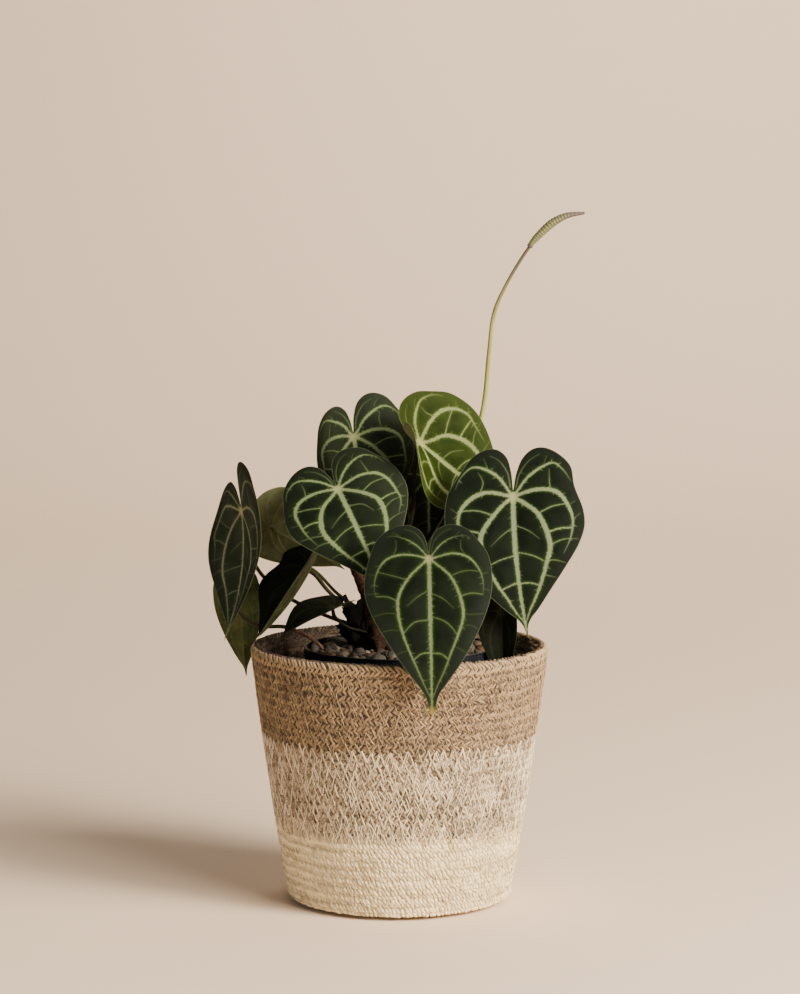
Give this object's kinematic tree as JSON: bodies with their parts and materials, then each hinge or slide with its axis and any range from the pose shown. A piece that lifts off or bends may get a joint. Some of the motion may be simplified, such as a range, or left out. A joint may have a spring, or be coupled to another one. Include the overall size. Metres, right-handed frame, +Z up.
{
  "type": "potted anthurium",
  "caption": "Velvet-leaved anthurium with pale veins and a slender flower spike, in a dark nursery pot set inside a tapered basket of coiled and stitched jute cord.",
  "frame": {"origin": "centre of the basket's flat underside", "axes": "+Z up, along the basket's axis; -Y to the front, where the largest leaf hangs over the rim"},
  "size_m": [0.2782, 0.2373, 0.5067],
  "materials": {
    "jute_cord": "rough braided jute",
    "mixed_cord": "jute cord under pale zigzag thread",
    "cream_cord": "cream cord and thread",
    "pot_plastic": "thin black moulded plastic",
    "leaf_dark": "velvety, with pale raised veins",
    "leaf_young": "bright new leaf with pale veins",
    "petiole_green": "smooth living stalk",
    "stem_bark": "matt brown stem",
    "stalk_green": "smooth living stalk",
    "spadix_olive": "matt, finely pebbled",
    "potting_mix": "loose bark and peat",
    "pebbles": "matt mixed pebbles and bark"
  },
  "bodies": {
    "root": {"basket_cream_base": "cream_cord", "basket_mixed_band": "mixed_cord", "basket_jute_band": "jute_cord", "nursery_pot": "pot_plastic", "potting_mix": "potting_mix", "pebble_dressing": "pebbles", "stem": "stem_bark", "flower_stalk": "stalk_green", "spadix": "spadix_olive", "leaf_01_blade": "leaf_dark", "leaf_01_petiole": "petiole_green", "leaf_02_blade": "leaf_dark", "leaf_02_petiole": "petiole_green", "leaf_03_blade": "leaf_dark", "leaf_03_petiole": "petiole_green", "leaf_04_blade": "leaf_dark", "leaf_04_petiole": "petiole_green", "leaf_05_blade": "leaf_young", "leaf_05_petiole": "petiole_green", "leaf_06_blade": "leaf_dark", "leaf_06_petiole": "petiole_green", "leaf_07_blade": "leaf_dark", "leaf_07_petiole": "petiole_green", "leaf_08_blade": "leaf_dark", "leaf_08_petiole": "petiole_green", "leaf_09_blade": "leaf_dark", "leaf_09_petiole": "petiole_green", "leaf_10_blade": "leaf_dark", "leaf_10_petiole": "petiole_green", "leaf_11_blade": "leaf_dark", "leaf_11_petiole": "petiole_green", "leaf_12_blade": "leaf_dark", "leaf_12_petiole": "petiole_green"}
  },
  "joints": []
}
